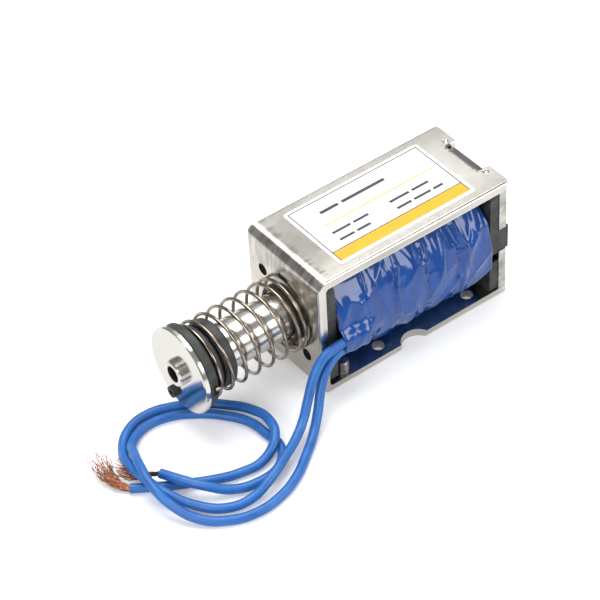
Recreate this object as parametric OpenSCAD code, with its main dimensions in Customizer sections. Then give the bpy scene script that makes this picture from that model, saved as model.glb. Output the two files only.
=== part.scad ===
// Push pull solenoid: a taped coil in a bent steel frame, with a plunger that
// a magnet core draws in and a return spring pushes out again.
//
// Millimetres. The origin is on the plunger's axis, at the frame's front face.
// +X runs along the axis into the frame, +Z is up, and the coil's open side
// faces -Y. The frame stands on its bottom wall.

/* [Frame] */
// Length of the frame's top and bottom walls
frame_l = 54; // [50:1:70]
// Width of the frame's strip
frame_w = 26; // [24:1:34]
// Height over both walls
frame_h = 33; // [31:1:42]
// Thickness of the frame's strip
frame_t = 2; // [1.2:0.1:2.5]
// Outer radius of the two bends
bend_r = 3; // [2.6:0.1:4]
// Rounding left by the punch along the strip's outer edges
edge_r = 0.8; // [0.3:0.1:1.1]
// Radius of the walls' rear corners
corner_r = 1.6; // [0.5:0.1:3]

/* [Back plate] */
// Thickness of the back plate
plate_t = 2; // [1.2:0.1:3]
// How far the walls run past the back plate
wall_past = 1; // [0.5:0.1:3]
// Width of the tabs staked in the walls' rear notches
tab_w = 11.2; // [8:0.2:16]

/* [Mounting holes] */
// Diameter of the two tapped holes in the front wall
face_hole_d = 3; // [2:0.5:4]
// Diameter of the circle that the front wall's holes stand on
face_hole_pcd = 21.2; // [20:0.2:26]
// Diameter of the four tapped holes in the bottom wall
base_hole_d = 3; // [2:0.5:4]
// Spacing of the bottom wall's holes along the frame
base_hole_dx = 26; // [20:1:32]
// Spacing of the bottom wall's holes across the frame
base_hole_dy = 19.4; // [15:0.2:20]
// Distance from the front face to the first pair of bottom holes
base_hole_x = 18.2; // [12:0.2:20]

/* [Bobbin and coil] */
// Thickness of the bobbin's flanges
flange_t = 2.5; // [1.5:0.1:3]
// Wall of the bobbin's tube
tube_wall = 1.1; // [0.8:0.1:1.6]
// How far the bobbin's nose stands out of the front wall
nose_out = 1.6; // [0.5:0.1:2]
// Wall of the brass guide sleeve
sleeve_wall = 0.3; // [0.2:0.05:0.5]
// Thickness of the tape wrapped round the winding
tape_wrap = 0.6; // [0.3:0.1:1]

/* [Plunger] */
// Diameter of the plunger
plunger_d = 11; // [9:0.2:12]
// Stroke of the plunger
stroke = 10; // [6:1:12]
// Length of plunger between the frame and the end washer at rest
reach = 25; // [24:1:32]
// Length of the fixed core inside the bobbin
core_l = 15; // [10:1:20]
// Diameter of the push rod
rod_d = 3; // [2:0.5:4]
// Depth of the cone on the plunger's tip, and of the core's seat for it
cone_l = 3.5; // [2:0.5:5]

/* [Plunger head] */
// Diameter of the end disc
disc_d = 21; // [19:0.5:25]
// Thickness of the end disc
disc_t = 1.5; // [1:0.1:2.5]
// Diameter of the black washer behind the disc
washer_d = 20; // [19:0.5:24]
// Thickness of the black washer
washer_t = 2.4; // [1.5:0.1:3.5]
// Thickness of each bumper ring
bumper_t = 3; // [2:0.1:3.4]
// Diameter of the hollow end that is spread over the disc
stub_d = 6.4; // [5:0.2:8]
// Diameter of the threaded hole in the hollow end
stub_hole_d = 4; // [3:0.5:4]
// How far the hollow end stands out of the disc
stub_out = 1.5; // [0.8:0.1:3]

/* [Return spring] */
// Outer diameter of the spring
spring_d = 18.2; // [17.6:0.2:22]
// Diameter of the spring's wire
wire_d = 0.9; // [0.6:0.1:1]
// Number of open turns
open_turns = 6; // [4:1:8]

/* [Leads] */
// Diameter of the two leads
lead_d = 2.2; // [1.6:0.1:2.3]

/* [Label] */
// Length of the label
label_l = 38; // [20:1:44]
// Width of the label
label_w = 21; // [12:1:23]

/* [Hidden] */
$fn = 64;

// Fits: a running fit for what slides, a seat for what is pushed home once.
run_gap = 0.05;
seat_gap = 0.05;
coil_gap = 0.3;
eps = 0.01;

// Frame and back plate
in_z = frame_h / 2 - frame_t;
plate_x = frame_l - wall_past - plate_t;
plate_w = frame_w;
notch_gap = 0.2;
tab_h = 0.9;
stake_d = 1.8;
key_w = 6.4;
key_z = 0.4;
base_notch_r = 4;
base_notch_x = 26;
base_notch_deep = 2.5;
screw_at = [7.2, -10.6];
screw_r = 1.45;
screw_top = -in_z + 3.1;
label_x = 8.2;

// Bobbin, built outwards from the plunger's bore
bore_r = plunger_d / 2 + run_gap;
sleeve_r = bore_r + sleeve_wall;
tube_r = sleeve_r + tube_wall;
nose_r = tube_r;
front_key = 1.2;
key_deep = 1.6;
key_past = 0.8;
flange_w = frame_w - 0.4;
flange_h = 2 * in_z - 0.2;
front_flange_h = 2 * (in_z - bend_r + frame_t) - 0.1;
coil_x0 = frame_t + flange_t;
coil_x1 = plate_x - flange_t;
tape_r = in_z - coil_gap;
winding_r = tape_r - tape_wrap - seat_gap;
slot_w = 3.6;
slot_h = 1.5;
slot_r = 10.1;

// The two leads leave under the tape, one above the other
lead_r = lead_d / 2;
root_a = [12, -14.9, -1.2];
root_b = [12, -14.6, -3.6];
lead_mouth = 5.5;

// Plunger and head: the core's cone is where the plunger's tip ends its stroke
core_r = plunger_d / 2;
core_x0 = plate_x - core_l;
tip_gap = 0.1;
tip_x = core_x0 - stroke + cone_l - tip_gap;
tip_r = 2.6;
rod_grip = 6;
rod_end = plate_x + plate_t + 0.5;
stub_hole_l = 11;
core_rivet_d = 7;
washer_x = -reach;
disc_x = washer_x - washer_t;
stub_x = disc_x - disc_t - stub_out;
spring_r = (spring_d - wire_d) / 2;
bumper_d = spring_d - 2 * wire_d - 0.4;
bumper_pitch = bumper_t + 0.6;
closed_pitch = wire_d + 0.1;
spring_x0 = washer_x + wire_d / 2 + seat_gap;
open_pitch = (reach - wire_d - 2 * seat_gap - 3 * closed_pitch) / open_turns;
spring_start = 175;
spring_steps = 20;
spring_sides = 6;
peg_at = [2.4, -7.7];
peg_d = 2.8;
peg_out = 1;

// Routes of the leads: out from under the tape, down past the front wall,
// and once round on the surface that the frame stands on
route_a = [[12, -14.9, -1.2], [5, -14.9, -1.2], [2, -15, -1.4], [-1, -15.2, -2], [-4.5, -16, -5],
    [-7.5, -17.5, -9], [-10.5, -19.5, -11.8], [-14.5, -22, -13], [-20, -25, -13],
    [-25.5, -27.5, -13.4], [-31, -28.3, -15], [-36.5, -27, -15.4], [-41.5, -22.5, -15],
    [-45, -17, -13.6], [-46.5, -11, -13], [-46.5, -5, -13.7], [-44.5, 1, -15.4], [-40, 5.5, -15.4],
    [-34, 6.8, -15.4], [-28, 5, -15.4], [-23, 2, -15.4], [-18.5, -2.5, -15.2], [-16, -8, -14],
    [-15.5, -13.5, -13], [-17.5, -18.5, -13], [-22.5, -21, -15], [-28.5, -20.5, -15.4],
    [-34, -18.5, -15.4], [-39.5, -15.5, -15.4], [-44.5, -12.5, -15.4], [-49.5, -9, -15.4]];
route_b = [[12, -14.6, -3.6], [5, -14.6, -3.6], [2, -14.9, -4], [-1, -15.8, -5.6],
    [-3.5, -17, -8.5], [-6, -19, -12], [-9.5, -21.8, -14.6], [-14.5, -25.5, -15.4],
    [-20, -29.2, -15.4], [-26, -31.5, -15.4], [-32.5, -32, -15.4], [-38.5, -30, -15.4],
    [-43.5, -26, -14.8], [-46.5, -20.5, -13], [-47.5, -15, -11], [-46.5, -9.5, -10.6],
    [-44.5, -4, -12.4], [-42, 1, -14.8], [-37, 3.8, -15.4], [-31, 3.2, -15.4], [-25.5, 0, -15.4],
    [-21, -4.5, -15.4], [-18, -9.5, -15.4], [-17.2, -15, -15.4], [-17.2, -20, -15.4],
    [-21, -24.3, -15.4], [-27, -25.2, -15.4], [-33, -23.5, -15], [-38, -20, -13.2],
    [-41, -15.5, -12.9], [-42.8, -11.6, -13.2], [-43.8, -9.5, -14]];
spread_a = [[-49.7, -8.9, -15.4], [-51.2, -6.4, -15.4], [-51.9, -3, -15], [-51, 0.6, -14.6]];
spread_b = [[-43.9, -9.2, -14.2], [-45.3, -7.2, -15.4], [-47.2, -5.2, -15.8], [-48.2, -2.2, -15.4]];
spread_a_r = [0.8, 1, 1.3, 1.5];
spread_b_r = [0.7, 0.6, 0.6, 0.9];

// A round bar along X, from x0 to x1
module along_x(x0, x1, r) {
    translate([x0, 0, 0]) rotate([0, 90, 0]) cylinder(r = r, h = x1 - x0);
}

// A ring round the axis, from x0 to x1
module ring_x(x0, x1, outer, inner) {
    difference() {
        along_x(x0, x1, outer);
        along_x(x0 - 1, x1 + 1, inner);
    }
}

// A turned piece: its outline is given as [radius, x] points
module turned(outline) {
    rotate([0, 90, 0]) rotate_extrude() polygon(outline);
}

// A rectangle from corner a to corner b with rounded corners: r0 at its low X side, r1 at its high
module soft_rect(a, b, r0, r1) {
    translate([a.x + r0, a.y]) square([b.x - a.x - r0 - r1, b.y - a.y]);
    translate([a.x, a.y + r0]) square([r0 + eps, b.y - a.y - 2 * r0]);
    translate([b.x - r1 - eps, a.y + r1]) square([r1 + eps, b.y - a.y - 2 * r1]);
    for (y = [a.y + r0, b.y - r0]) translate([a.x + r0, y]) circle(r0);
    for (y = [a.y + r1, b.y - r1]) translate([b.x - r1, y]) circle(r1);
}

// The outline that stands on YZ, pushed along X from x0 to x1
module push_x(x0, x1) {
    translate([x0, 0, 0]) rotate([90, 0, 90]) linear_extrude(x1 - x0) children();
}

// A tube through points, with one radius for each of them
function unit(v) = v / norm(v);
function heading(p, i) = unit(p[min(i + 1, len(p) - 1)] - p[max(i - 1, 0)]);
function tube_ring(p, i, r, sides) =
    let (t = heading(p, i), u = unit(cross(t, [0, 0, 1])), v = cross(u, t))
    [for (k = [0 : sides - 1]) p[i] + r * (cos(360 * k / sides) * u + sin(360 * k / sides) * v)];
module tube(p, radii, sides = 8) {
    n = len(p);
    rings = [for (i = [0 : n - 1]) each tube_ring(p, i, radii[i], sides)];
    walls = [for (i = [0 : n - 2], k = [0 : sides - 1])
        [i * sides + k, (i + 1) * sides + k, (i + 1) * sides + (k + 1) % sides,
         i * sides + (k + 1) % sides]];
    first = [for (k = [0 : sides - 1]) k];
    last = [for (k = [sides - 1 : -1 : 0]) (n - 1) * sides + k];
    polyhedron(rings, concat(walls, [first, last]));
}

// Steel strip bent twice: front wall, top wall and bottom wall
module c_frame() color("silver") difference() {
    intersection() {
        rotate([90, 0, 0]) linear_extrude(frame_w, center = true) difference() {
            soft_rect([0, -frame_h / 2], [frame_l + 5, frame_h / 2], bend_r, eps);
            soft_rect([frame_t, -in_z], [frame_l + 9, in_z], bend_r - frame_t, eps);
        }
        linear_extrude(frame_h + 2, center = true)
            soft_rect([0, -frame_w / 2], [frame_l, frame_w / 2], edge_r, corner_r);
        push_x(-1, frame_l + 1)
            soft_rect([-frame_w / 2, -frame_h / 2], [frame_w / 2, frame_h / 2], edge_r, edge_r);
    }
    along_x(-1, frame_t + 1, nose_r + seat_gap);
    for (side = [1, -1]) translate([0, side * face_hole_pcd / 2 * cos(45), side * face_hole_pcd / 2 * sin(45)])
        along_x(-1, frame_t + 1, face_hole_d / 2);
    // Slot over the nose, for the bobbin's front key
    push_x(-1, frame_t + 1) soft_rect([-slot_w / 2, slot_r - slot_h / 2],
        [slot_w / 2, slot_r + slot_h / 2], slot_h / 2 - eps, slot_h / 2 - eps);
    // Tapped holes and the screw's hole in the bottom wall
    for (x = [0, base_hole_dx], side = [1, -1])
        translate([base_hole_x + x, side * base_hole_dy / 2, -frame_h / 2 - 1])
            cylinder(d = base_hole_d, h = frame_t + 2);
    translate([screw_at.x, screw_at.y, -frame_h / 2 - 1])
        cylinder(r = screw_r + seat_gap, h = frame_t + 2);
    // Round notch in the bottom wall's near edge
    translate([base_notch_x, -frame_w / 2 - base_notch_r + base_notch_deep, -frame_h / 2 - 1])
        cylinder(r = base_notch_r, h = frame_t + 2);
    // Rear notches for the back plate's tabs, and the punch marks that stake them
    for (side = [1, -1]) {
        translate([plate_x - notch_gap, -tab_w / 2 - notch_gap, side > 0 ? in_z - 1 : -frame_h / 2 - 1])
            cube([frame_l, tab_w + 2 * notch_gap, frame_t + 2]);
        for (y = [-1, 1]) translate([plate_x + plate_t / 2, y * (tab_w / 2 + stake_d / 2 + 0.5), side * (frame_h / 2 + 0.5)])
            sphere(d = stake_d);
    }
}

// Plate that closes the frame's back and carries the fixed core
module back_plate() color("gainsboro") difference() {
    union() {
        push_x(plate_x, plate_x + plate_t)
            soft_rect([-plate_w / 2, -in_z], [plate_w / 2, in_z], eps, eps);
        push_x(plate_x, plate_x + plate_t)
            soft_rect([-tab_w / 2, -in_z - tab_h], [tab_w / 2, in_z + tab_h], 0.4, 0.4);
    }
    along_x(plate_x - 1, plate_x + plate_t + 1, core_rivet_d / 2 + seat_gap);
    for (side = [1, -1]) translate([plate_x - 1, side * plate_w / 2 - key_deep, key_z - key_w / 2 - seat_gap])
        cube([plate_t + 2, 2 * key_deep, key_w + 2 * seat_gap]);
}

// Outline of a bobbin flange, with the notch that the leads pass in its near side
module flange_outline(h) difference() {
    soft_rect([-flange_w / 2, -h / 2], [flange_w / 2, h / 2], 1, 1);
    circle(sleeve_r + seat_gap);
    translate([-flange_w / 2 - 1, -5.4]) square([2.6, 2.2]);
}

// Moulded bobbin: tube, two flanges, nose in the front wall, keys front and back
module bobbin() color("dimgray") {
    turned([[sleeve_r + seat_gap, -nose_out], [tube_r - 0.5, -nose_out], [tube_r, -nose_out + 0.5],
        [tube_r, plate_x], [sleeve_r + seat_gap, plate_x]]);
    push_x(frame_t, coil_x0) flange_outline(front_flange_h);
    push_x(coil_x1, plate_x) flange_outline(flange_h);
    push_x(frame_t - front_key, frame_t + 0.1) soft_rect([-slot_w / 2 + seat_gap, slot_r - slot_h / 2 + seat_gap],
        [slot_w / 2 - seat_gap, slot_r + slot_h / 2 - seat_gap], 0.4, 0.4);
    for (side = [1, -1]) translate([plate_x - 0.1, side > 0 ? flange_w / 2 - key_deep + 0.3 : -flange_w / 2, key_z - key_w / 2])
        cube([plate_t + key_past + 0.1, key_deep - 0.3, key_w]);
}

// Drawn brass sleeve that the plunger slides in
module guide_sleeve() color("goldenrod")
    ring_x(-nose_out + 0.4, plate_x, sleeve_r, bore_r);

// Copper wire wound on the bobbin
module winding() color("peru")
    ring_x(coil_x0 + 0.1, coil_x1 - 0.1, winding_r, tube_r + seat_gap);

// Tape wrapped round the winding, raised where it holds the two leads down
module coil_tape() color("royalblue") difference() {
    union() {
        along_x(coil_x0 + 0.1, coil_x1 - 0.1, tape_r);
        for (p = [root_a, root_b]) translate([0, p.y, p.z]) along_x(lead_mouth, p.x + 1, lead_r + tape_wrap);
    }
    along_x(coil_x0, coil_x1, winding_r + seat_gap);
    for (p = [root_a, root_b]) translate([0, p.y, p.z]) along_x(coil_x0, p.x + 0.1, lead_r + seat_gap);
}

// Paper label on the top wall
module label() color("white") translate([label_x, 0, frame_h / 2]) linear_extrude(0.12)
    soft_rect([0, -label_w / 2], [label_l, label_w / 2], 0.8, 0.8);

// Fixed core: the plunger's tip seats in its cone, its tail is riveted in the back plate
module fixed_core() color("darkgray") difference() {
    turned([[0, core_x0 + cone_l], [tip_r, core_x0 + cone_l], [core_r - 0.4, core_x0], [core_r, core_x0],
        [core_r, plate_x], [core_rivet_d / 2, plate_x], [core_rivet_d / 2, plate_x + plate_t],
        [core_rivet_d / 2 + 0.9, plate_x + plate_t], [core_rivet_d / 2 + 0.4, plate_x + plate_t + 0.8],
        [0, plate_x + plate_t + 0.8]]);
    along_x(core_x0, frame_l + 9, rod_d / 2 + run_gap);
}

// Grub screw that stands up from the bottom wall in front of the coil
module base_screw() color("lightgray") translate([screw_at.x, screw_at.y, 0]) rotate_extrude()
    polygon(concat([[0, screw_top], [0, -frame_h / 2 + 0.2], [screw_r, -frame_h / 2 + 0.2], [screw_r, -in_z]],
        [for (k = [0 : 5]) each [[screw_r, -in_z + 0.15 + k * 0.5], [screw_r - 0.25, -in_z + 0.4 + k * 0.5]]],
        [[screw_r - 0.25, screw_top]]));

// Plunger: coned tip, plain slide and a threaded hollow end that is spread over the disc
module plunger() color("lightgray") difference() {
    turned([[0, stub_x], [stub_d / 2 - 0.3, stub_x], [stub_d / 2, stub_x + 0.3], [stub_d / 2, disc_x],
        [core_r - 0.4, disc_x], [core_r, disc_x + 0.4], [core_r, tip_x - cone_l], [core_r - 0.5, tip_x - cone_l],
        [tip_r - 0.1, tip_x], [0, tip_x]]);
    along_x(stub_x - 1, stub_x + stub_hole_l, stub_hole_d / 2);
    along_x(tip_x - rod_grip, tip_x + 1, rod_d / 2 + seat_gap);
}

// Push rod, pressed in the plunger's tip and sliding through the core
module push_rod() color("gold")
    turned([[0, tip_x - rod_grip], [rod_d / 2, tip_x - rod_grip], [rod_d / 2, rod_end - 0.4],
        [rod_d / 2 - 0.4, rod_end], [0, rod_end]]);

// Black washer behind the disc, with a slot in its rim for the spring's end
module end_washer() color("#2b2b2b") difference() {
    turned([[core_r + seat_gap, disc_x], [washer_d / 2 - 0.3, disc_x], [washer_d / 2, disc_x + 0.3],
        [washer_d / 2, washer_x - 0.4], [washer_d / 2 - 0.4, washer_x], [core_r + seat_gap, washer_x]]);
    translate([0, peg_at.x, peg_at.y]) along_x(disc_x - 1, washer_x + 1, peg_d / 2 + seat_gap);
    translate([disc_x + 0.8, -washer_d / 2 - 1, -1.5]) cube([washer_t, 1.7, 5]);
}

// Rubber bumper ring on the plunger, inside the spring
module bumper(x0) color("#303030")
    turned([[core_r + seat_gap, x0], [bumper_d / 2 - 0.6, x0], [bumper_d / 2, x0 + 0.6],
        [bumper_d / 2, x0 + bumper_t - 0.6], [bumper_d / 2 - 0.6, x0 + bumper_t], [core_r + seat_gap, x0 + bumper_t]]);
module bumper_outer() bumper(washer_x);
module bumper_inner() bumper(washer_x + bumper_pitch);

// End disc, turned and polished
module end_disc() color("whitesmoke") difference() {
    turned([[stub_d / 2 + seat_gap, disc_x - disc_t], [disc_d / 2 - 0.5, disc_x - disc_t],
        [disc_d / 2 - 0.15, disc_x - disc_t + 0.15], [disc_d / 2, disc_x - disc_t + 0.5],
        [disc_d / 2, disc_x - 0.3], [disc_d / 2 - 0.3, disc_x], [stub_d / 2 + seat_gap, disc_x]]);
    translate([0, peg_at.x, peg_at.y]) along_x(disc_x - disc_t - 1, disc_x + 1, peg_d / 2 + seat_gap);
}

// Hollow peg that keys the washer to the disc
module disc_peg() color("black") translate([0, peg_at.x, peg_at.y]) difference() {
    along_x(disc_x - disc_t - peg_out, washer_x - 0.4, peg_d / 2);
    along_x(disc_x - disc_t - peg_out - 1, disc_x - disc_t + 0.5, peg_d / 4);
}

// Return spring: one closed turn at the washer, open turns, two closed turns at the frame
function spring_x(u) = spring_x0 + closed_pitch * min(u, 1)
    + open_pitch * max(0, min(u - 1, open_turns)) + closed_pitch * max(0, u - 1 - open_turns);
module return_spring() color("rosybrown") {
    n = (3 + open_turns) * spring_steps;
    points = [for (i = [0 : n]) let (u = i / spring_steps, a = spring_start + 360 * u)
        [spring_x(u), -spring_r * sin(a), spring_r * cos(a)]];
    rings = [for (i = [0 : n], k = [0 : spring_sides - 1])
        let (a = spring_start + 360 * i / spring_steps, b = 360 * k / spring_sides, q = wire_d / 2 * cos(b))
        points[i] + [wire_d / 2 * sin(b), -q * sin(a), q * cos(a)]];
    walls = [for (i = [0 : n - 1], k = [0 : spring_sides - 1])
        [i * spring_sides + k, i * spring_sides + (k + 1) % spring_sides,
         (i + 1) * spring_sides + (k + 1) % spring_sides, (i + 1) * spring_sides + k]];
    polyhedron(rings, concat(walls, [[for (k = [spring_sides - 1 : -1 : 0]) k],
        [for (k = [0 : spring_sides - 1]) n * spring_sides + k]]));
}

module lead_a() color("dodgerblue") tube(route_a, [for (p = route_a) lead_r]);
module lead_b() color("dodgerblue") tube(route_b, [for (p = route_b) lead_r]);
module strands_a() color("chocolate") tube(spread_a, spread_a_r);
module strands_b() color("chocolate") tube(spread_b, spread_b_r);

c_frame();
back_plate();
bobbin();
guide_sleeve();
winding();
coil_tape();
label();
fixed_core();
base_screw();
plunger();
push_rod();
end_washer();
bumper_outer();
bumper_inner();
end_disc();
disc_peg();
return_spring();
lead_a();
lead_b();
strands_a();
strands_b();
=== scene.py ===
import math
import random

import bpy
from mathutils import Matrix, Vector, noise


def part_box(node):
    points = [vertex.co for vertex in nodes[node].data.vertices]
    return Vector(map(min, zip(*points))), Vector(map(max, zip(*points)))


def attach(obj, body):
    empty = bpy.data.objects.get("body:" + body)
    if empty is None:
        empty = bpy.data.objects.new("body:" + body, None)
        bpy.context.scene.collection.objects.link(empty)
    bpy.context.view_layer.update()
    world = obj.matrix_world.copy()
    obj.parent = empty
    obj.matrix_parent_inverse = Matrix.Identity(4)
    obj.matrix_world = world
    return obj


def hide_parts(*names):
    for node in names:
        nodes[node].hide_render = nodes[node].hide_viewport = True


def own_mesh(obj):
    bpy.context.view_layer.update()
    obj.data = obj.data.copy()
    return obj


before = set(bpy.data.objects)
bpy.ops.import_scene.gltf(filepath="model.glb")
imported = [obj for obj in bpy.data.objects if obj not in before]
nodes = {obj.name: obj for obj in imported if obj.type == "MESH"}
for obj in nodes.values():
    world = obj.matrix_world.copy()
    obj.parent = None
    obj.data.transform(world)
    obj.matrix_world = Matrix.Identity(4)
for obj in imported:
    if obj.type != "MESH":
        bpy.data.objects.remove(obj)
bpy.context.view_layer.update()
MM = 0.001

# Camera. It looks down on the solenoid from the plunger's end and the coil's
# open side, with a long lens and a slight roll.
CAMERA_AZIMUTH = math.radians(-35.13)
CAMERA_ELEVATION = math.radians(43.18)
CAMERA_ROLL = math.radians(-3.39)
CAMERA_TARGET = Vector((6.65, 3.4, -2.87)) * MM
CAMERA_DISTANCE = 560 * MM
CAMERA_LENS = 150.4

backward = Vector((math.sin(CAMERA_AZIMUTH) * math.cos(CAMERA_ELEVATION),
                   -math.cos(CAMERA_AZIMUTH) * math.cos(CAMERA_ELEVATION),
                   math.sin(CAMERA_ELEVATION)))
level_right = Vector((0, 0, 1)).cross(backward).normalized()
level_up = backward.cross(level_right)
right = math.cos(CAMERA_ROLL) * level_right + math.sin(CAMERA_ROLL) * level_up
up = math.cos(CAMERA_ROLL) * level_up - math.sin(CAMERA_ROLL) * level_right
camera_data = bpy.data.cameras.new("camera")
camera_data.lens = CAMERA_LENS
camera_data.sensor_width = 36
camera_data.clip_start = 0.01
camera = bpy.data.objects.new("camera", camera_data)
bpy.context.scene.collection.objects.link(camera)
turn = Matrix((right, up, backward)).transposed()
camera.matrix_world = Matrix.Translation(CAMERA_TARGET + backward * CAMERA_DISTANCE) @ turn.to_4x4()
bpy.context.scene.camera = camera

# The two leads: stranded copper in blue PVC. Each leaves under the tape, drops
# past the front wall and lies once round on the table, ending in bare strands.
LEAD_DIAMETER = 2.2 * MM
ROUTE_A = [(12, -14.9, -1.2), (5, -14.9, -1.2), (2, -15, -1.4), (-1, -15.2, -2), (-4.5, -16, -5),
           (-7.5, -17.5, -9), (-10.5, -19.5, -11.8), (-14.5, -22, -13), (-20, -25, -13),
           (-25.5, -27.5, -13.4), (-31, -28.3, -15), (-36.5, -27, -15.4), (-41.5, -22.5, -15),
           (-45, -17, -13.6), (-46.5, -11, -13), (-46.5, -5, -13.7), (-44.5, 1, -15.4),
           (-40, 5.5, -15.4), (-34, 6.8, -15.4), (-28, 5, -15.4), (-23, 2, -15.4),
           (-18.5, -2.5, -15.2), (-16, -8, -14), (-15.5, -13.5, -13), (-17.5, -18.5, -13),
           (-22.5, -21, -15), (-28.5, -20.5, -15.4), (-34, -18.5, -15.4), (-39.5, -15.5, -15.4),
           (-44.5, -12.5, -15.4), (-49.5, -9, -15.4)]
ROUTE_B = [(12, -14.6, -3.6), (5, -14.6, -3.6), (2, -14.9, -4), (-1, -15.8, -5.6),
           (-3.5, -17, -8.5), (-6, -19, -12), (-9.5, -21.8, -14.6), (-14.5, -25.5, -15.4),
           (-20, -29.2, -15.4), (-26, -31.5, -15.4), (-32.5, -32, -15.4), (-38.5, -30, -15.4),
           (-43.5, -26, -14.8), (-46.5, -20.5, -13), (-47.5, -15, -11), (-46.5, -9.5, -10.6),
           (-44.5, -4, -12.4), (-42, 1, -14.8), (-37, 3.8, -15.4), (-31, 3.2, -15.4),
           (-25.5, 0, -15.4), (-21, -4.5, -15.4), (-18, -9.5, -15.4), (-17.2, -15, -15.4),
           (-17.2, -20, -15.4), (-21, -24.3, -15.4), (-27, -25.2, -15.4), (-33, -23.5, -15),
           (-38, -20, -13.2), (-41, -15.5, -12.9), (-42.9, -11.3, -13.3)]


def line_through(name, points, radius, sides=16):
    """One smooth curve through the points, as thick as its radius."""
    data = bpy.data.curves.new(name, "CURVE")
    data.dimensions = "3D"
    data.bevel_depth = radius
    data.bevel_resolution = sides // 4
    data.resolution_u = 8
    data.use_fill_caps = True
    spline = data.splines.new("BEZIER")
    spline.bezier_points.add(len(points) - 1)
    for place, knot in zip(points, spline.bezier_points):
        knot.co = place
        knot.handle_left_type = knot.handle_right_type = "AUTO"
    piece = bpy.data.objects.new(name, data)
    bpy.context.scene.collection.objects.link(piece)
    return piece


lead_pieces = []
for name, route in (("lead_a_wire", ROUTE_A), ("lead_b_wire", ROUTE_B)):
    lead_pieces.append(line_through(name, [Vector(p) * MM for p in route], LEAD_DIAMETER / 2))


def shader_group(name, inputs, outputs):
    """An empty node group with its named sockets: its tree and its two ends."""
    tree = bpy.data.node_groups.new(name, "ShaderNodeTree")
    for socket_name, kind, default in inputs:
        socket = tree.interface.new_socket(socket_name, in_out="INPUT", socket_type="NodeSocket" + kind)
        socket.default_value = default
    for socket_name, kind in outputs:
        tree.interface.new_socket(socket_name, in_out="OUTPUT", socket_type="NodeSocket" + kind)
    return tree, tree.nodes.new("NodeGroupInput"), tree.nodes.new("NodeGroupOutput")


# Mottling at two scales shifts a finish between two tones and two roughnesses,
# and gives it a fine relief.
TIMES_FINER = 7
finish_group, g_in, g_out = shader_group(
    "Mottled finish",
    (("Tone", "Color", (0.8, 0.8, 0.8, 1)), ("Second Tone", "Color", (0.5, 0.5, 0.5, 1)),
     ("Size", "Float", 300), ("Stretch", "Vector", (1, 1, 1)),
     ("Roughness Low", "Float", 0.2), ("Roughness High", "Float", 0.3),
     ("Relief", "Float", 0.1), ("Relief Depth", "Float", 0.00002)),
    (("Color", "Color"), ("Roughness", "Float"), ("Normal", "Vector")))
g = finish_group.nodes
wire = finish_group.links.new
place = g.new("ShaderNodeTexCoord")
stretch = g.new("ShaderNodeVectorMath")
stretch.operation = "MULTIPLY"
wire(place.outputs["Object"], stretch.inputs[0])
wire(g_in.outputs["Stretch"], stretch.inputs[1])
broad, fine = g.new("ShaderNodeTexNoise"), g.new("ShaderNodeTexNoise")
finer = g.new("ShaderNodeMath")
finer.operation = "MULTIPLY"
finer.inputs[1].default_value = TIMES_FINER
wire(g_in.outputs["Size"], finer.inputs[0])
for texture, scale in ((broad, g_in.outputs["Size"]), (fine, finer.outputs[0])):
    wire(stretch.outputs[0], texture.inputs["Vector"])
    wire(scale, texture.inputs["Scale"])
    texture.inputs["Detail"].default_value = 5
tone_mask = g.new("ShaderNodeMapRange")
tone_mask.inputs["From Min"].default_value = 0.38
tone_mask.inputs["From Max"].default_value = 0.68
wire(broad.outputs["Fac"], tone_mask.inputs["Value"])
tones = g.new("ShaderNodeMix")
tones.data_type = "RGBA"
wire(tone_mask.outputs["Result"], tones.inputs["Factor"])
wire(g_in.outputs["Tone"], tones.inputs["A"])
wire(g_in.outputs["Second Tone"], tones.inputs["B"])
rough = g.new("ShaderNodeMapRange")
wire(fine.outputs["Fac"], rough.inputs["Value"])
wire(g_in.outputs["Roughness Low"], rough.inputs["To Min"])
wire(g_in.outputs["Roughness High"], rough.inputs["To Max"])
relief = g.new("ShaderNodeBump")
wire(g_in.outputs["Relief"], relief.inputs["Strength"])
wire(g_in.outputs["Relief Depth"], relief.inputs["Distance"])
wire(fine.outputs["Fac"], relief.inputs["Height"])
wire(tones.outputs["Result"], g_out.inputs["Color"])
wire(rough.outputs["Result"], g_out.inputs["Roughness"])
wire(relief.outputs["Normal"], g_out.inputs["Normal"])


def finish(name, tone, second, size, low, high, relief_strength=0.1, stretch_by=(1, 1, 1),
           metal=0.0, coat=0.0, specular=0.5, depth=0.00002):
    """A material of one shader fed by the mottled finish."""
    material = bpy.data.materials.new(name)
    material.use_nodes = True
    tree = material.node_tree
    shader = tree.nodes["Principled BSDF"]
    mottle = tree.nodes.new("ShaderNodeGroup")
    mottle.node_tree = finish_group
    mottle.inputs["Tone"].default_value = (*tone, 1)
    mottle.inputs["Second Tone"].default_value = (*second, 1)
    mottle.inputs["Size"].default_value = size
    mottle.inputs["Stretch"].default_value = stretch_by
    mottle.inputs["Roughness Low"].default_value = low
    mottle.inputs["Roughness High"].default_value = high
    mottle.inputs["Relief"].default_value = relief_strength
    mottle.inputs["Relief Depth"].default_value = depth
    for out, into in (("Color", "Base Color"), ("Roughness", "Roughness"), ("Normal", "Normal")):
        tree.links.new(mottle.outputs[out], shader.inputs[into])
    shader.inputs["Metallic"].default_value = metal
    shader.inputs["Coat Weight"].default_value = coat
    shader.inputs["Coat Roughness"].default_value = 0.08
    shader.inputs["Specular IOR Level"].default_value = specular
    return material


def dress(piece, material):
    """The piece gets this one material."""
    piece.data.materials.clear()
    piece.data.materials.append(material)


lead_blue = finish("blue lead insulation", (0.019, 0.145, 0.46), (0.013, 0.105, 0.37), 260,
                   0.36, 0.5, 0.25, coat=0.05)
for piece in lead_pieces:
    dress(piece, lead_blue)

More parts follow.
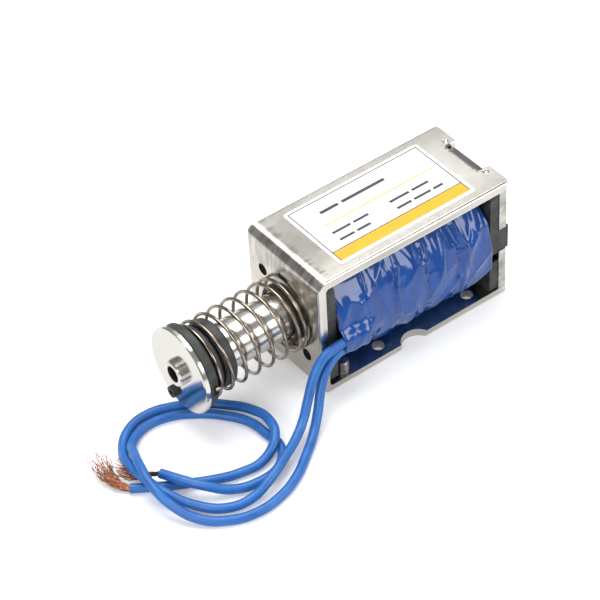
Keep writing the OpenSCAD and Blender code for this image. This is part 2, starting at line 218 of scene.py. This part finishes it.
# The bared ends of the leads: fine copper strands that fan out and lift a
# little where the insulation stops.
STRAND_RADIUS = 0.075 * MM
SPREAD_A = [(-49.4, -9.1, -15.4), (-51, -6.6, -15.3), (-51.5, -3.2, -14.8), (-50.4, 1.2, -13.9)]
SPREAD_B = [(-42.8, -11.4, -13.25), (-44.6, -8.6, -14.9), (-47, -5.6, -15.7), (-48.8, -2, -15.2)]
SPREAD_A_RADII = (0.75, 1.2, 1.8, 2.4)
SPREAD_B_RADII = (0.55, 0.5, 0.8, 2.0)
FLOOR_Z = -16.5
STRANDS = 60
KNOTS = 8
TWIST_EACH_KNOT, STRAY = 0.25, 0.42
draw = random.Random(7)


def strand_bundle(name, spread, radii):
    """Strands that leave one lead together and part towards their tips."""
    data = bpy.data.curves.new(name, "CURVE")
    data.dimensions = "3D"
    data.bevel_depth = STRAND_RADIUS
    data.bevel_resolution = 1
    data.resolution_u = 4
    data.use_fill_caps = True
    for _ in range(STRANDS):
        angle = draw.uniform(0, 2 * math.pi)
        share = math.sqrt(draw.random())
        reach = draw.uniform(0.6, 1.08)
        spline = data.splines.new("BEZIER")
        spline.bezier_points.add(KNOTS - 1)
        curl = draw.uniform(-1, 1)
        for i, knot in enumerate(spline.bezier_points):
            u = i / (KNOTS - 1) * (len(spread) - 1) * reach
            first = min(int(u), len(spread) - 2)
            t = u - first
            before, after = Vector(spread[first]), Vector(spread[first + 1])
            radius = radii[first] + t * (radii[first + 1] - radii[first])
            across = (after - before).cross(Vector((0, 0, 1))).normalized()
            loose = STRAY * i / (KNOTS - 1)
            twist = angle + TWIST_EACH_KNOT * i
            side = radius * share * math.cos(twist) + loose * draw.uniform(-1, 1) + curl * loose ** 2 * 6
            lift = 0.8 * radius * share * math.sin(twist) + loose * draw.uniform(-1, 1)
            spot = before.lerp(after, t) + across * side + Vector((0, 0, lift))
            spot.z = max(spot.z, FLOOR_Z + 0.12)
            knot.co = spot * MM
            knot.handle_left_type = knot.handle_right_type = "AUTO"
    piece = bpy.data.objects.new(name, data)
    bpy.context.scene.collection.objects.link(piece)
    return piece


copper = finish("bare copper strands", (0.50, 0.215, 0.125), (0.20, 0.075, 0.04), 1400,
                0.25, 0.42, 0.1, metal=1.0)
lead_ends = []
for lead, name, node, spread, radii in (
        (lead_pieces[0], "lead_a_strands", "strands_a", SPREAD_A, SPREAD_A_RADII),
        (lead_pieces[1], "lead_b_strands", "strands_b", SPREAD_B, SPREAD_B_RADII)):
    bundle = strand_bundle(name, spread, radii)
    dress(bundle, copper)
    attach(bundle, "frame")
    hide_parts(node)
    lead_ends.append(bundle)
for lead, route, node, bundle in zip(lead_pieces, (ROUTE_A, ROUTE_B), ("lead_a", "lead_b"), lead_ends):
    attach(lead, "frame")
    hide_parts(node)

# Frame and back plate: steel strip, sheared, bent and nickel plated, the plate's
# tabs staked in the walls. The finish is satin, rougher on the back plate's sheared
# tabs. Painted highlight lightens the rear of the top wall, painted shade streaks
# the front bend and the front wall and darkens the notches round the tabs, and the
# top wall is darker along its near edge.
patch_group, g_in, g_out = shader_group(
    "Shaded patch",
    (("Centre", "Vector", (0, 0, 0)), ("Half Size", "Vector", (1, 1, 1)), ("Soft", "Float", 0.5),
     ("Broken", "Float", 0.5), ("Grain", "Vector", (300, 300, 300)), ("Strength", "Float", 1.0)),
    (("Mask", "Float"),))
g = patch_group.nodes
wire = patch_group.links.new
place = g.new("ShaderNodeTexCoord")
offset, share, away = (g.new("ShaderNodeVectorMath") for _ in range(3))
offset.operation, share.operation, away.operation = "SUBTRACT", "DIVIDE", "ABSOLUTE"
wire(place.outputs["Object"], offset.inputs[0])
wire(g_in.outputs["Centre"], offset.inputs[1])
wire(offset.outputs[0], share.inputs[0])
wire(g_in.outputs["Half Size"], share.inputs[1])
wire(share.outputs[0], away.inputs[0])
axes = g.new("ShaderNodeSeparateXYZ")
wire(away.outputs[0], axes.inputs[0])
widest, farthest = g.new("ShaderNodeMath"), g.new("ShaderNodeMath")
widest.operation = farthest.operation = "MAXIMUM"
wire(axes.outputs["X"], widest.inputs[0])
wire(axes.outputs["Y"], widest.inputs[1])
wire(widest.outputs[0], farthest.inputs[0])
wire(axes.outputs["Z"], farthest.inputs[1])
grain_place = g.new("ShaderNodeVectorMath")
grain_place.operation = "MULTIPLY"
wire(place.outputs["Object"], grain_place.inputs[0])
wire(g_in.outputs["Grain"], grain_place.inputs[1])
grain = g.new("ShaderNodeTexNoise")
grain.inputs["Scale"].default_value = 1
grain.inputs["Detail"].default_value = 4
wire(grain_place.outputs[0], grain.inputs["Vector"])
centred, ragged, edge = (g.new("ShaderNodeMath") for _ in range(3))
centred.operation, ragged.operation, edge.operation = "SUBTRACT", "MULTIPLY_ADD", "SUBTRACT"
centred.inputs[1].default_value = 0.5
wire(grain.outputs["Fac"], centred.inputs[0])
wire(centred.outputs[0], ragged.inputs[0])
wire(g_in.outputs["Broken"], ragged.inputs[1])
wire(farthest.outputs[0], ragged.inputs[2])
edge.inputs[0].default_value = 1
wire(g_in.outputs["Soft"], edge.inputs[1])
fade = g.new("ShaderNodeMapRange")
fade.interpolation_type = "SMOOTHSTEP"
fade.inputs["To Min"].default_value = 1
fade.inputs["To Max"].default_value = 0
wire(ragged.outputs[0], fade.inputs["Value"])
wire(edge.outputs[0], fade.inputs["From Min"])
fade.inputs["From Max"].default_value = 1
scaled = g.new("ShaderNodeMath")
scaled.operation = "MULTIPLY"
wire(fade.outputs["Result"], scaled.inputs[0])
wire(g_in.outputs["Strength"], scaled.inputs[1])
wire(scaled.outputs[0], g_out.inputs["Mask"])


def shade_patch(material, tone, centre, half, soft=0.6, broken=1.0, grain=(300, 300, 300), strength=0.7):
    """A box in the material (in mm) takes on another tone, its edges soft and ragged."""
    tree = material.node_tree
    base = tree.nodes["Principled BSDF"].inputs["Base Color"]
    before = base.links[0].from_socket
    patch = tree.nodes.new("ShaderNodeGroup")
    patch.node_tree = patch_group
    patch.inputs["Centre"].default_value = [v * MM for v in centre]
    patch.inputs["Half Size"].default_value = [v * MM for v in half]
    for label, value in (("Soft", soft), ("Broken", broken), ("Grain", grain), ("Strength", strength)):
        patch.inputs[label].default_value = value
    blend = tree.nodes.new("ShaderNodeMix")
    blend.data_type = "RGBA"
    blend.inputs["B"].default_value = (*tone, 1)
    tree.links.new(patch.outputs["Mask"], blend.inputs["Factor"])
    tree.links.new(before, blend.inputs["A"])
    tree.links.new(blend.outputs["Result"], base)


nickel_satin = finish("satin nickel plate", (0.68, 0.65, 0.59), (0.60, 0.57, 0.515), 90,
                      0.16, 0.25, 0.05, metal=1.0, depth=0.00001)
# Painted highlight: the rear of the top wall lighter, standing in for reflected light.
shade_patch(nickel_satin, (0.93, 0.90, 0.84), (40, 0, 16.5), (24, 15, 1.2), 0.9, 0.3, (60, 60, 60), 0.85)
# Painted shade: dark streaks over the front of the top wall, across the bend and down the front wall,
# standing in for the dark reflection the bend shows.
shade_patch(nickel_satin, (0.36, 0.345, 0.315), (5, 0, 16.5), (11, 15, 1.2), 0.9, 0.8, (60, 300, 60), 0.8)
shade_patch(nickel_satin, (0.20, 0.19, 0.175), (2.1, 0, 15), (2.4, 14, 3), 0.9, 2.6, (90, 900, 90), 0.62)
shade_patch(nickel_satin, (0.24, 0.23, 0.21), (-0.1, 0, 12), (1.2, 14, 4.5), 0.9, 2.4, (90, 700, 160), 0.62)
shade_patch(nickel_satin, (0.26, 0.25, 0.23), (0, -7.5, 3), (1, 4.5, 7), 0.9, 1.6, (260, 260, 200), 0.5)
# Painted shade in the notch where the back plate's tab sits.
shade_patch(nickel_satin, (0.16, 0.15, 0.14), (51.2, 0, 16), (1.0, 6.3, 1.2), 0.4, 1.3, (900, 1500, 900), 0.8)
# A darker strip along the top wall's near edge.
shade_patch(nickel_satin, (0.30, 0.285, 0.26), (27, -13.2, 15.5), (27, 0.5, 1.4), 0.8, 1.4,
            (40, 500, 900), 0.5)
nickel_edge = finish("sheared nickel edge", (0.56, 0.54, 0.50), (0.30, 0.29, 0.27), 420,
                     0.25, 0.45, 0.35, metal=1.0, depth=0.00005)
# Painted shade: the tab's top near black in its notch in the top wall.
shade_patch(nickel_edge, (0.07, 0.066, 0.06), (52, 0, 16), (1.3, 6.2, 1.6), 0.2, 1.0, (900, 1400, 900), 0.85)
dress(nodes["c_frame"], nickel_satin)
dress(nodes["back_plate"], nickel_edge)

# Base screw: the end of a dark steel machine screw that comes up through the
# bottom wall beside the bobbin. Its thread is a fine helical crest.
screw_steel = finish("dark screw steel", (0.34, 0.33, 0.32), (0.16, 0.155, 0.15), 900,
                     0.3, 0.45, 0.3, metal=1.0)
dress(nodes["base_screw"], screw_steel)
SCREW_X, SCREW_Y, SCREW_RADIUS = 7.2, -10.6, 1.45
THREAD_PITCH, THREAD_TURNS, THREAD_LOW = 0.5, 5.5, -14.35
CREST_RADIUS, CREST_STEPS = 0.17, 16
thread_points = []
for i in range(int(THREAD_TURNS * CREST_STEPS) + 1):
    angle = 2 * math.pi * i / CREST_STEPS
    thread_points.append(Vector((SCREW_X + SCREW_RADIUS * math.cos(angle),
                                 SCREW_Y + SCREW_RADIUS * math.sin(angle),
                                 THREAD_LOW + THREAD_PITCH * i / CREST_STEPS)) * MM)
screw_thread = line_through("screw_thread", thread_points, CREST_RADIUS * MM, 8)
dress(screw_thread, screw_steel)
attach(screw_thread, "frame")

# Bobbin: one moulding in black glass-filled nylon, flanges, nose and rear tab,
# its finish mottled between black and a dark grey, its roughness varying.
black_nylon = finish("black moulded nylon", (0.014, 0.014, 0.015), (0.045, 0.045, 0.043), 500,
                     0.42, 0.7, 0.5, depth=0.00006)
dress(nodes["bobbin"], black_nylon)

# Inside the bobbin: a drawn brass sleeve that guides the plunger, the turned
# steel core riveted in the back plate, and the winding of enamelled wire.
brass = finish("drawn brass", (0.70, 0.50, 0.20), (0.58, 0.40, 0.15), 300, 0.2, 0.35, 0.1,
               stretch_by=(0.1, 1, 1), metal=1.0)
core_steel = finish("turned steel", (0.55, 0.54, 0.52), (0.42, 0.41, 0.40), 300, 0.25, 0.4, 0.2, metal=1.0)
enamel = finish("enamelled copper wire", (0.07, 0.022, 0.01), (0.05, 0.016, 0.008), 300, 0.2, 0.3, 0.2,
                stretch_by=(12, 1, 1), metal=1.0)
dress(nodes["guide_sleeve"], brass)
dress(nodes["fixed_core"], core_steel)
dress(nodes["winding"], enamel)

# Coil tape: glossy blue film wound on by hand, so it puckers into ridges that
# run round the coil, sags off it between the walls and domes over the leads.
TAPE_X0, TAPE_X1 = 4.6, 48.4
TAPE_RADIUS = 13.95
TAPE_MAX_Z = 14.4
TAPE_ROWS, TAPE_STEPS = 200, 238
TAPE_THICKNESS = 0.08
TAPE_TURNS = ((3, 13), (13, 21.5), (21.5, 29.5), (29.5, 38.5), (38.5, 50))
DOME_ANGLE = math.atan2(-2.4, -14.75)
DOME_HEIGHT = 2.35
SAG_ANGLE, TAUT_ANGLE = math.radians(221), math.radians(235)
bpy.ops.object.select_all(action="DESELECT")
bpy.ops.mesh.primitive_grid_add(x_subdivisions=TAPE_ROWS, y_subdivisions=TAPE_STEPS, size=1)
tape = bpy.context.object
tape.name = "tape_film"


def smooth(low, high, value):
    """0 below low, 1 above high, and eased between."""
    t = min(max((value - low) / (high - low), 0), 1)
    return t * t * (3 - 2 * t)


def turn_from(angle, centre):
    """Signed angle from the centre, the short way round."""
    return math.atan2(math.sin(angle - centre), math.cos(angle - centre))


def crease(x, around, seed, pitch, lean):
    """Height of sharp folds that run round the coil, leaning along it."""
    at = Vector((x / pitch + lean * around / 9, around / 16, seed))
    value = 1 - abs(noise.noise(at)) * 2.6
    return max(value, 0) ** 3


for vertex in tape.data.vertices:
    u, v = vertex.co.x + 0.5, vertex.co.y + 0.5
    x = TAPE_X0 + u * (TAPE_X1 - TAPE_X0)
    angle = math.pi / 2 + v * 2 * math.pi
    around = v * 2 * math.pi * TAPE_RADIUS
    slack = smooth(5, 22, x) * (1 - 0.25 * smooth(42, 49, x))
    side = abs(math.cos(angle))
    under = math.exp(-(turn_from(angle, SAG_ANGLE) / 0.45) ** 2)
    seam = smooth(0, 0.02, v) * smooth(0, 0.02, 1 - v)
    lower = math.exp(-(turn_from(angle, TAUT_ANGLE) / 0.5) ** 2)
    drift = 1.3 * noise.noise(Vector((x / 14, around / 9, 4.4)))
    billow, pucker = 0, 0
    for low, high in TAPE_TURNS:
        t = (x + drift - (low + high) / 2) / ((high - low) / 2)
        billow += max(1 - t * t, 0) ** 0.7
    for low, high in TAPE_TURNS[1:]:
        t = (x + drift - low) / 1.7
        pucker += math.exp(-t * t) * max(noise.noise(Vector((x / 3, around / 1.15, 6))), 0)
    folds = 0.95 * crease(x, around, 3.1, 6.2, 0.3) + 0.14 * crease(x, around, 8.7, 3.4, -0.5) \
        + 0.3 * crease(x, around, 5.5, 8.5, 0.9) + 0.25 * noise.noise(Vector((x / 9, around / 7, 2)))
    swell = (0.95 * folds * (0.35 + 0.65 * side) * (1 - 0.72 * lower)
             + 0.75 * billow * (1 - 0.5 * lower) + 0.5 * pucker)
    radius = TAPE_RADIUS - 0.25 + seam * swell * (0.4 + 0.6 * slack)
    radius += seam * 0.85 * under * slack + 0.25 * lower * slack
    radius = TAPE_RADIUS + (radius - TAPE_RADIUS) * (1 - 0.82 * smooth(0, 6, TAPE_RADIUS * math.cos(angle)))
    gap = turn_from(angle, DOME_ANGLE) * TAPE_RADIUS
    radius += DOME_HEIGHT * math.exp(-(gap / 3.1) ** 4) * (1 - smooth(10.5, 17, x))
    closing = min(smooth(TAPE_X0, TAPE_X0 + 0.7, x) + math.exp(-(gap / 3.4) ** 4), 1) \
        * (1 - smooth(TAPE_X1 - 0.7, TAPE_X1, x))
    radius -= 0.8 * (1 - closing)
    y, z = radius * math.cos(angle), radius * math.sin(angle)
    z = min(max(z, -TAPE_MAX_Z), TAPE_MAX_Z)
    vertex.co = Vector((x, y, z)) * MM
tape_shape = tape.modifiers.new("seam", "WELD")
tape_shape.merge_threshold = 0.02 * MM
bpy.ops.object.modifier_apply(modifier="seam")
bpy.ops.object.mode_set(mode="EDIT")
bpy.ops.mesh.select_all(action="SELECT")
bpy.ops.mesh.normals_make_consistent(inside=False)
bpy.ops.object.mode_set(mode="OBJECT")
tape_wall = tape.modifiers.new("film", "SOLIDIFY")
tape_wall.thickness = TAPE_THICKNESS * MM
tape_wall.offset = -1
bpy.ops.object.modifier_apply(modifier="film")
bpy.ops.object.shade_smooth()
film = finish("blue tape film", (0.005, 0.048, 0.235), (0.009, 0.075, 0.32), 160, 0.08, 0.15, 0.06,
              stretch_by=(2.4, 0.6, 0.6), coat=0.2, specular=0.45)
dress(tape, film)
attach(tape, "frame")
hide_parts("coil_tape")

# Label: white printed film on the top wall, with a thin border, a yellow band
# along its near edge and plain grey lines where a maker would print its data.
INK = 0.01 * MM
LABEL_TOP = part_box("label")[1][2] + INK
label_white = finish("white label film", (0.86, 0.86, 0.85), (0.82, 0.82, 0.81), 200, 0.3, 0.38, 0.05)
ink_yellow = finish("yellow print", (0.86, 0.42, 0.012), (0.82, 0.39, 0.01), 200, 0.3, 0.38, 0.05)
ink_grey = finish("grey print", (0.055, 0.058, 0.075), (0.04, 0.042, 0.055), 200, 0.3, 0.38, 0.05)
ink_pale = finish("pale yellow print", (0.93, 0.55, 0.07), (0.9, 0.52, 0.06), 200, 0.3, 0.38, 0.05)
dress(nodes["label"], label_white)


def print_bar(x0, y0, x1, y1, layer):
    """One printed rectangle on the label, given in millimetres."""
    bpy.ops.mesh.primitive_plane_add(size=1, location=((x0 + x1) / 2 * MM, (y0 + y1) / 2 * MM,
                                                       LABEL_TOP + 2 * layer * INK))
    bar = bpy.context.object
    bar.scale = ((x1 - x0) * MM, (y1 - y0) * MM, 1)
    bpy.ops.object.transform_apply(location=True, rotation=True, scale=True)
    return bar


BORDER_X0, BORDER_Y0, BORDER_X1, BORDER_Y1 = 9, -9.6, 45.4, 9.7
LINE = 0.24
BAND_TOP = -6.5
border_lines = [(BORDER_X0, BORDER_Y0, BORDER_X0 + LINE, BORDER_Y1),
                (BORDER_X1 - LINE, BORDER_Y0, BORDER_X1, BORDER_Y1),
                (BORDER_X0, BORDER_Y1 - LINE, BORDER_X1, BORDER_Y1),
                (BORDER_X0, BAND_TOP, BORDER_X1, BAND_TOP + LINE)]
HEADING_ROW, UPPER_ROW, LOWER_ROW = (5.2, 6.1), (-1.7, -1), (-4.4, -3.7)
ROW_BARS = ((HEADING_ROW, ((15, 20), (21, 33))),
            (UPPER_ROW, ((13, 18), (18.8, 23), (29, 34.5), (35.3, 40))),
            (LOWER_ROW, ((13, 17), (17.8, 21.5), (29, 33), (33.8, 38.5), (39.3, 42))))
data_bars = [(x0, low, x1, high) for (low, high), spans in ROW_BARS for x0, x1 in spans]
prints = {"label_band": (ink_yellow, [(BORDER_X0, BORDER_Y0, BORDER_X1, BAND_TOP)], 1),
          "label_rule": (ink_pale, [(13, 1.5, 43.5, 1.85)], 1),
          "label_lines": (ink_grey, border_lines + data_bars, 2)}
for name, (ink, bars, layer) in prints.items():
    bpy.ops.object.select_all(action="DESELECT")
    made = [print_bar(*bar, layer) for bar in bars]
    for bar in made:
        bar.select_set(True)
    bpy.context.view_layer.objects.active = made[0]
    if len(made) > 1:
        bpy.ops.object.join()
    printed = bpy.context.object
    printed.name = name
    printed.data.transform(printed.matrix_world)
    printed.matrix_world = Matrix.Identity(4)
    ink_film = printed.modifiers.new("ink film", "SOLIDIFY")
    ink_film.thickness = INK
    bpy.ops.object.modifier_apply(modifier="ink film")
    dress(printed, ink)
    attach(printed, "frame")

# Plunger: turned steel, nickel plated, with a tapered tip and a hollow stub. A
# brass rod pressed in its tip runs out through the core and does the pushing.
plunger_nickel = finish("plunger nickel plate", (0.72, 0.70, 0.655), (0.55, 0.53, 0.49), 260, 0.1, 0.3, 0.1,
                        stretch_by=(0.35, 1, 1), metal=1.0)
dress(nodes["plunger"], plunger_nickel)
dress(nodes["push_rod"], brass)

# Washer and two bumper rings behind the disc: black rubber, slid on the plunger.
# The washer carries the spring and holds its end in a slot in the rim.
black_rubber = finish("black rubber", (0.022, 0.023, 0.023), (0.046, 0.047, 0.046), 420,
                      0.45, 0.62, 0.35, depth=0.00004)
for name in ("end_washer", "bumper_outer", "bumper_inner"):
    dress(nodes[name], black_rubber)

# End disc: turned steel with a bright nickel plate, riveted on the plunger's
# stub. A hollow nylon peg sits in the disc and the washer.
nickel_bright = finish("bright nickel plate", (0.70, 0.675, 0.63), (0.655, 0.63, 0.59), 110,
                       0.1, 0.17, 0.03, metal=1.0)
dress(nodes["end_disc"], nickel_bright)
dress(nodes["disc_peg"], black_nylon)

# Return spring: hard-drawn wire, coiled round the plunger with a closed turn at
# each end, its first end hooked in the slot of the washer's rim. The washer and
# the front wall squeeze it as the plunger goes in; here it is drawn at rest, fixed
# to the frame.
SPRING_REACH = 25
SEAT_WIRE = 0.9
DRAWN_WIRE_RADIUS = 0.41
SEAT_GAP = 0.05
COIL_RADIUS = 8.65
CLOSED_PITCH = 1.0
OPEN_TURNS = 6
SPRING_X0 = -SPRING_REACH + SEAT_WIRE / 2 + SEAT_GAP
OPEN_PITCH = (SPRING_REACH - SEAT_WIRE - 2 * SEAT_GAP - 2 * CLOSED_PITCH) / OPEN_TURNS
SPRING_START = 175
STEPS = 28
HOOK = ((-26.1, 9.78, 90), (-25.4, 9.78, 90), (-24.75, 9.66, 90.8), (-24.56, 9.25, 93), (-24.55, 8.75, 98))


def round_axis(x, radius, degrees):
    """A point at this distance from the plunger's axis, turned from the top."""
    angle = math.radians(degrees)
    return Vector((x, -radius * math.sin(angle), radius * math.cos(angle))) * MM


spring_points = [round_axis(*point) for point in HOOK]
spring_points += [round_axis(SPRING_X0 - 0.04, COIL_RADIUS, degrees)
                  for degrees in range(110, SPRING_START - 5, 12)]
for i in range((2 + OPEN_TURNS) * STEPS + 1):
    turns = i / STEPS
    x = SPRING_X0 + CLOSED_PITCH * min(turns, 1) + OPEN_PITCH * max(0, min(turns - 1, OPEN_TURNS)) \
        + CLOSED_PITCH * max(0, turns - 1 - OPEN_TURNS)
    spring_points.append(round_axis(x, COIL_RADIUS, SPRING_START + 360 * turns))
spring = line_through("spring_wire", spring_points, DRAWN_WIRE_RADIUS * MM, 12)
spring.data.resolution_u = 2
bpy.ops.object.select_all(action="DESELECT")
spring.select_set(True)
bpy.context.view_layer.objects.active = spring
bpy.ops.object.convert(target="MESH")
spring = bpy.context.object
bpy.ops.object.shade_smooth()
spring_steel = finish("drawn spring wire", (0.40, 0.35, 0.29), (0.22, 0.17, 0.125), 500,
                      0.16, 0.3, 0.2, metal=1.0)
dress(spring, spring_steel)
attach(spring, "frame")
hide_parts("return_spring")
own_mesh(spring)

# Table and light: a pale sweep under soft boxes, with a grey world that the
# metal reflects and a white one behind it all.
bpy.ops.object.select_all(action="DESELECT")
bpy.ops.mesh.primitive_plane_add(size=6, location=(0, 0, FLOOR_Z * MM))
table = bpy.context.object
table.name = "table"
pale = bpy.data.materials.new("pale table")
pale.use_nodes = True
pale_tree = pale.node_tree
shader = pale_tree.nodes["Principled BSDF"]
shader.inputs["Base Color"].default_value = (0.86, 0.86, 0.86, 1)
shader.inputs["Roughness"].default_value = 0.6
shader.inputs["Specular IOR Level"].default_value = 0.1
seen = pale_tree.nodes.new("ShaderNodeLightPath")
glow = pale_tree.nodes.new("ShaderNodeMath")
glow.operation = "MULTIPLY"
glow.inputs[1].default_value = 0.2
pale_tree.links.new(seen.outputs["Is Camera Ray"], glow.inputs[0])
shader.inputs["Emission Color"].default_value = (1, 1, 1, 1)
pale_tree.links.new(glow.outputs[0], shader.inputs["Emission Strength"])
dress(table, pale)

world = bpy.data.worlds.new("studio")
bpy.context.scene.world = world
world.use_nodes = True
sky = world.node_tree
grey = sky.nodes["Background"]
grey.inputs["Color"].default_value = (0.62, 0.63, 0.65, 1)
grey.inputs["Strength"].default_value = 0.55
white = sky.nodes.new("ShaderNodeBackground")
white.inputs["Color"].default_value = (1, 1, 1, 1)
mixed = sky.nodes.new("ShaderNodeMixShader")
rays = sky.nodes.new("ShaderNodeLightPath")
sky.links.new(rays.outputs["Is Camera Ray"], mixed.inputs["Fac"])
sky.links.new(grey.outputs[0], mixed.inputs[1])
sky.links.new(white.outputs[0], mixed.inputs[2])
sky.links.new(mixed.outputs[0], sky.nodes["World Output"].inputs["Surface"])

for name, place, size, power in (("soft box above", (0.05, 0.15, 0.55), 0.5, 3.6),
                                 ("soft box left", (-0.5, -0.25, 0.35), 0.35, 2.0),
                                 ("soft box right", (0.35, -0.5, 0.3), 0.3, 1.6),
                                 ("soft box behind", (0.50, 0.62, 0.68), 0.5, 0.33)):
    lamp_data = bpy.data.lights.new(name, "AREA")
    lamp_data.shape = "SQUARE"
    lamp_data.size = size
    lamp_data.energy = power
    lamp = bpy.data.objects.new(name, lamp_data)
    bpy.context.scene.collection.objects.link(lamp)
    aim = Vector(place).to_track_quat("Z", "Y")
    lamp.matrix_world = Matrix.Translation(place) @ aim.to_matrix().to_4x4()
bpy.context.scene.view_settings.view_transform = "Standard"
